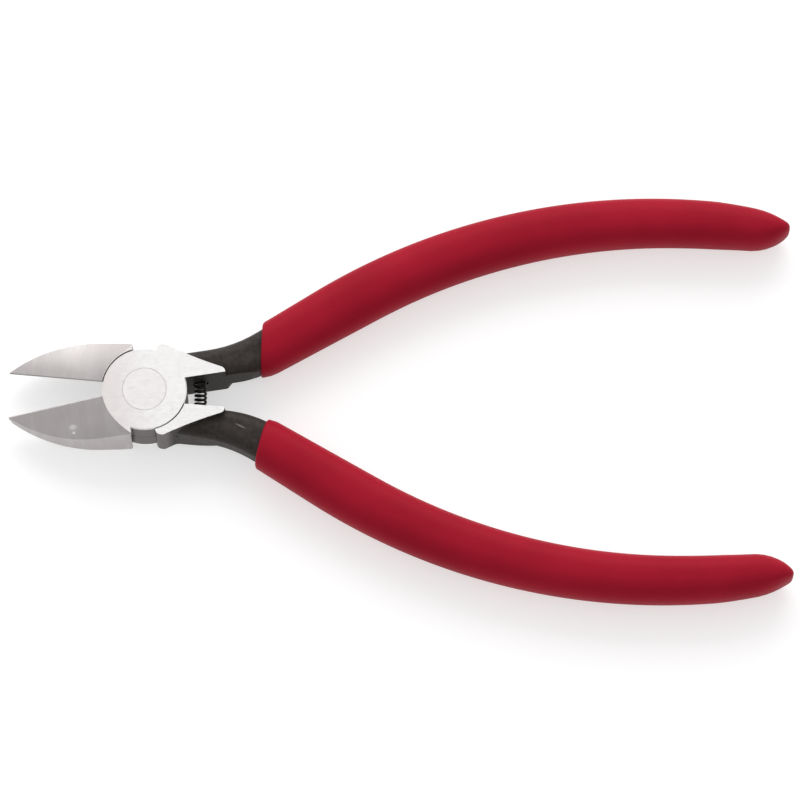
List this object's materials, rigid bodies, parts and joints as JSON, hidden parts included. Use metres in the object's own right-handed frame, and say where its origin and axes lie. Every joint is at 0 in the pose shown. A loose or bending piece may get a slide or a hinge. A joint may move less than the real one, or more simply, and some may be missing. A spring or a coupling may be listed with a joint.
{
  "type": "diagonal cutting pliers",
  "caption": "Spring-loaded diagonal cutting pliers with a riveted lap joint, tapered flush-faced jaws and dipped plastic grips.",
  "frame": {"origin": "where the rivet's axis meets the rear face of the joint, the face that the tool lies on", "axes": "+X along the tool from the jaws towards the handles, midway between the open handles; +Y towards the front half's handle; +Z along the rivet's axis, from the rear face to the front face"},
  "size_m": [0.1554, 0.0836, 0.0105],
  "materials": {
    "tool_steel": "ground on the joint faces and jaws, black oxide on the handles' necks",
    "rivet_steel": "ground flush",
    "spring_wire": "black",
    "dipped_plastic": "satin gloss"
  },
  "bodies": {
    "rear": {"rear_half": "tool_steel", "lower_grip": "dipped_plastic", "pivot_rivet": "rivet_steel", "opening_spring": "spring_wire"},
    "front": {"front_half": "tool_steel", "upper_grip": "dipped_plastic"}
  },
  "joints": [
    {"name": "jaw_pivot", "type": "hinge", "parent": "rear", "child": "front", "pos_m": [0, 0, 0.00525], "axis": [0, 0, 1], "range_deg": [-18.6, 0], "stiffness_Nm_per_rad": 0.25, "deforming": ["opening_spring"]}
  ]
}
